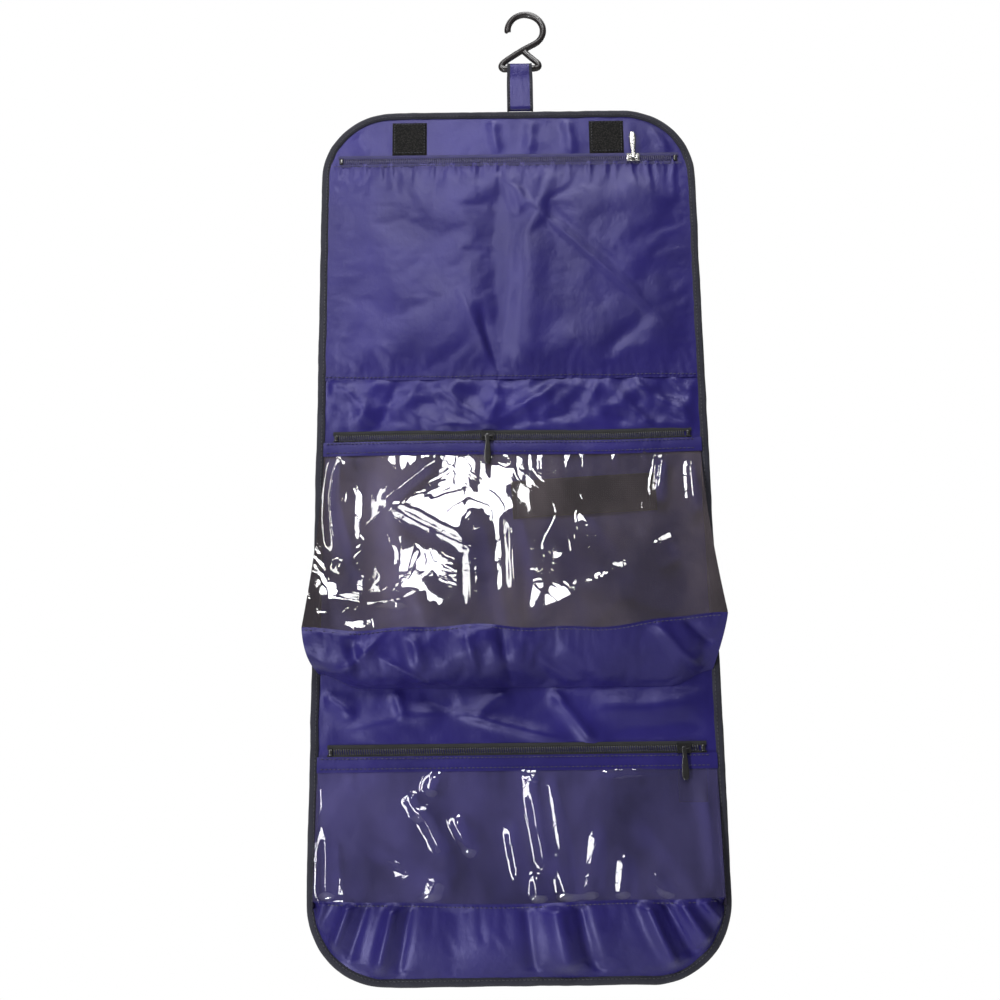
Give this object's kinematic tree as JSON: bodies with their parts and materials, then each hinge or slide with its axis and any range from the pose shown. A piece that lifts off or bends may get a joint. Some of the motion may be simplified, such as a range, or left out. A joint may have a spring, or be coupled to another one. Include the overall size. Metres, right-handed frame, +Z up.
{
  "type": "hanging toiletry bag",
  "caption": "Trifold hanging toiletry bag: plastic hook on a strap loop, nylon panels with bound edges, zipped pockets, clear windows, and hook-and-loop closing squares.",
  "frame": {"origin": "the hook's seat: the inside top of the crook, where it rests on a rail", "axes": "+Z up, +X to the right seen from the front, -Y the front with the pockets, +Y the back that hangs against a wall or door"},
  "size_m": [0.2748, 0.0331, 0.6808],
  "materials": {
    "nylon": "satin",
    "lining": "satin",
    "binding": "matte",
    "hook_and_loop": "matte",
    "elastic": "matte",
    "side_cloth": "matte",
    "zip_tape": "matte",
    "zip_coil": "satin",
    "slider_metal": "satin",
    "pull_metal": "gloss",
    "clear_film": "gloss",
    "hook_plastic": "gloss"
  },
  "bodies": {
    "hook": {"hook": "hook_plastic"},
    "hanger": {"hanger_strap": "nylon"},
    "upper": {"upper_shell": "nylon", "upper_lining": "lining", "upper_binding": "binding", "hook_patch_left": "hook_and_loop", "hook_patch_right": "hook_and_loop", "upper_zip_tape_top": "zip_tape", "upper_zip_tape_bottom": "zip_tape", "upper_zip_coil": "zip_coil", "upper_zip_stop_left": "slider_metal", "upper_zip_stop_right": "slider_metal", "upper_pocket_front": "nylon"},
    "upper_slider": {"upper_zip_slider": "slider_metal"},
    "upper_pull": {"upper_zip_pull": "pull_metal"},
    "upper_fold": {"upper_fold_shell": "nylon", "upper_fold_lining": "lining", "upper_fold_binding_left": "binding", "upper_fold_binding_right": "binding"},
    "middle": {"middle_shell": "nylon", "middle_lining": "lining", "middle_binding_left": "binding", "middle_binding_right": "binding", "middle_zip_tape_top": "zip_tape", "middle_zip_tape_bottom": "zip_tape", "middle_zip_coil": "zip_coil", "middle_zip_stop_left": "slider_metal", "middle_zip_stop_right": "slider_metal", "middle_zip_facing": "nylon", "middle_window": "clear_film", "middle_bottom_gusset": "nylon", "middle_side_gusset_left": "side_cloth", "middle_side_gusset_right": "side_cloth", "elastic_strap": "elastic"},
    "middle_slider": {"middle_zip_slider": "slider_metal"},
    "middle_pull": {"middle_zip_pull": "pull_metal"},
    "lower_fold": {"lower_fold_shell": "nylon", "lower_fold_lining": "lining", "lower_fold_binding_left": "binding", "lower_fold_binding_right": "binding", "loop_patch_left": "hook_and_loop", "loop_patch_right": "hook_and_loop"},
    "lower": {"lower_shell": "nylon", "lower_lining": "lining", "lower_binding": "binding", "lower_zip_tape_top": "zip_tape", "lower_zip_tape_bottom": "zip_tape", "lower_zip_coil": "zip_coil", "lower_zip_stop_left": "slider_metal", "lower_zip_stop_right": "slider_metal", "lower_zip_facing": "nylon", "lower_window": "clear_film", "lower_bottom_gusset": "nylon", "lower_side_gusset_left": "side_cloth", "lower_side_gusset_right": "side_cloth", "lower_zip_tape_end": "zip_tape"},
    "lower_slider": {"lower_zip_slider": "slider_metal"},
    "lower_pull": {"lower_zip_pull": "pull_metal"}
  },
  "joints": [
    {"name": "hook_swing", "type": "hinge", "parent": "hook", "child": "hanger", "pos_m": [-0.00475, 0, -0.042], "axis": [1, 0, 0], "range_deg": [-80, 80]},
    {"name": "strap_bend", "type": "hinge", "parent": "hanger", "child": "upper", "pos_m": [-0.00475, 0, -0.0747], "axis": [1, 0, 0], "range_deg": [-60, 60]},
    {"name": "upper_fold", "type": "hinge", "parent": "upper", "child": "upper_fold", "pos_m": [-0.014, -0.0045, -0.28], "axis": [-1, 0, 0], "range_deg": [0, 90]},
    {"name": "upper_fold_far", "type": "hinge", "parent": "upper_fold", "child": "middle", "pos_m": [-0.014, -0.0045, -0.317], "axis": [-1, 0, 0], "range_deg": [0, 90]},
    {"name": "lower_fold", "type": "hinge", "parent": "middle", "child": "lower_fold", "pos_m": [-0.014, -0.001, -0.493], "axis": [-1, 0, 0], "range_deg": [0, 90]},
    {"name": "lower_fold_far", "type": "hinge", "parent": "lower_fold", "child": "lower", "pos_m": [-0.014, -0.001, -0.527], "axis": [-1, 0, 0], "range_deg": [0, 90]},
    {"name": "upper_zip_run", "type": "slide", "parent": "upper", "child": "upper_slider", "axis": [1, 0, 0], "range_m": [-0.2045, 0.0245]},
    {"name": "upper_pull_flip", "type": "hinge", "parent": "upper_slider", "child": "upper_pull", "pos_m": [0.076, -0.0044, -0.1155], "axis": [1, 0, 0], "range_deg": [0, 185]},
    {"name": "middle_zip_run", "type": "slide", "parent": "middle", "child": "middle_slider", "axis": [1, 0, 0], "range_m": [-0.0975, 0.1315]},
    {"name": "middle_pull_flip", "type": "hinge", "parent": "middle_slider", "child": "middle_pull", "pos_m": [-0.031, -0.0044, -0.322], "axis": [1, 0, 0], "range_deg": [-175, 0]},
    {"name": "lower_zip_run", "type": "slide", "parent": "lower", "child": "lower_slider", "axis": [1, 0, 0], "range_m": [-0.2225, 0.0065]},
    {"name": "lower_pull_flip", "type": "hinge", "parent": "lower_slider", "child": "lower_pull", "pos_m": [0.094, -0.0044, -0.532], "axis": [1, 0, 0], "range_deg": [-175, 0]}
  ],
  "couplings": [
    {"joint": "upper_fold_far", "follows": "upper_fold", "ratio": 1},
    {"joint": "lower_fold_far", "follows": "lower_fold", "ratio": 1}
  ]
}
